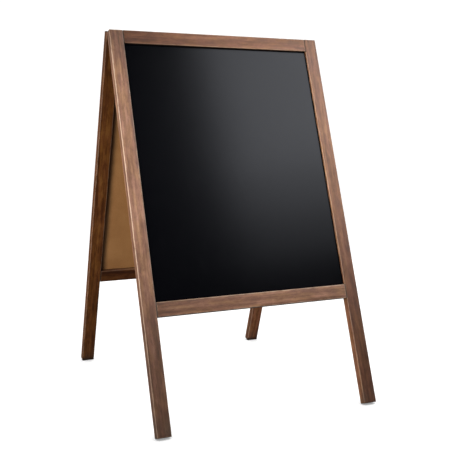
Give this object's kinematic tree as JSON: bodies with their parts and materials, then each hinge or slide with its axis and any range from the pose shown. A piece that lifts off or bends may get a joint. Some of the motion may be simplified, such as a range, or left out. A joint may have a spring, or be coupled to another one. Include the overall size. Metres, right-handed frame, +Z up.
{
  "type": "sandwich board",
  "caption": "Wooden A-frame sandwich board: framed chalkboards hinged along the top, kept from splaying by a webbing strap.",
  "frame": {"origin": "on the floor, midway between the four feet", "axes": "+Z up; +X to the right as seen from the front; the front board faces -Y and the rear board +Y"},
  "size_m": [0.6, 0.7088, 0.9567],
  "materials": {
    "stained_beech": "satin brown stain over fine close grain",
    "raw_beech": "bare turned wood",
    "chalkboard": "matte black chalkboard paint on the outer face, bare tan hardboard on the inner face",
    "zinc_plated_steel": "dull zinc plating",
    "black_webbing": "woven black webbing"
  },
  "bodies": {
    "front_board": {"front_bottom_left_dowel_1": "raw_beech", "front_bottom_left_dowel_2": "raw_beech", "front_bottom_rail": "stained_beech", "front_bottom_right_dowel_1": "raw_beech", "front_bottom_right_dowel_2": "raw_beech", "front_chalkboard_panel": "chalkboard", "front_left_stile": "stained_beech", "front_right_stile": "stained_beech", "front_strap_plate": "zinc_plated_steel", "front_strap_screw_left": "zinc_plated_steel", "front_strap_screw_right": "zinc_plated_steel", "front_top_left_dowel_1": "raw_beech", "front_top_left_dowel_2": "raw_beech", "front_top_rail": "stained_beech", "front_top_right_dowel_1": "raw_beech", "front_top_right_dowel_2": "raw_beech", "left_hinge_front_leaf": "zinc_plated_steel", "left_hinge_front_screw_1": "zinc_plated_steel", "left_hinge_front_screw_2": "zinc_plated_steel", "left_hinge_front_screw_3": "zinc_plated_steel", "left_hinge_pin": "zinc_plated_steel", "limit_strap": "black_webbing", "right_hinge_front_leaf": "zinc_plated_steel", "right_hinge_front_screw_1": "zinc_plated_steel", "right_hinge_front_screw_2": "zinc_plated_steel", "right_hinge_front_screw_3": "zinc_plated_steel", "right_hinge_pin": "zinc_plated_steel"},
    "rear_board": {"left_hinge_rear_leaf": "zinc_plated_steel", "left_hinge_rear_screw_1": "zinc_plated_steel", "left_hinge_rear_screw_2": "zinc_plated_steel", "left_hinge_rear_screw_3": "zinc_plated_steel", "rear_bottom_left_dowel_1": "raw_beech", "rear_bottom_left_dowel_2": "raw_beech", "rear_bottom_rail": "stained_beech", "rear_bottom_right_dowel_1": "raw_beech", "rear_bottom_right_dowel_2": "raw_beech", "rear_chalkboard_panel": "chalkboard", "rear_left_stile": "stained_beech", "rear_right_stile": "stained_beech", "rear_strap_plate": "zinc_plated_steel", "rear_strap_screw_left": "zinc_plated_steel", "rear_strap_screw_right": "zinc_plated_steel", "rear_top_left_dowel_1": "raw_beech", "rear_top_left_dowel_2": "raw_beech", "rear_top_rail": "stained_beech", "rear_top_right_dowel_1": "raw_beech", "rear_top_right_dowel_2": "raw_beech", "right_hinge_rear_leaf": "zinc_plated_steel", "right_hinge_rear_screw_1": "zinc_plated_steel", "right_hinge_rear_screw_2": "zinc_plated_steel", "right_hinge_rear_screw_3": "zinc_plated_steel"}
  },
  "joints": [
    {"name": "board_fold", "type": "hinge", "parent": "front_board", "child": "rear_board", "pos_m": [0, 0, 0.93803], "axis": [-1, 0, 0], "range_deg": [0, 38.8], "deforming": ["limit_strap"]}
  ]
}
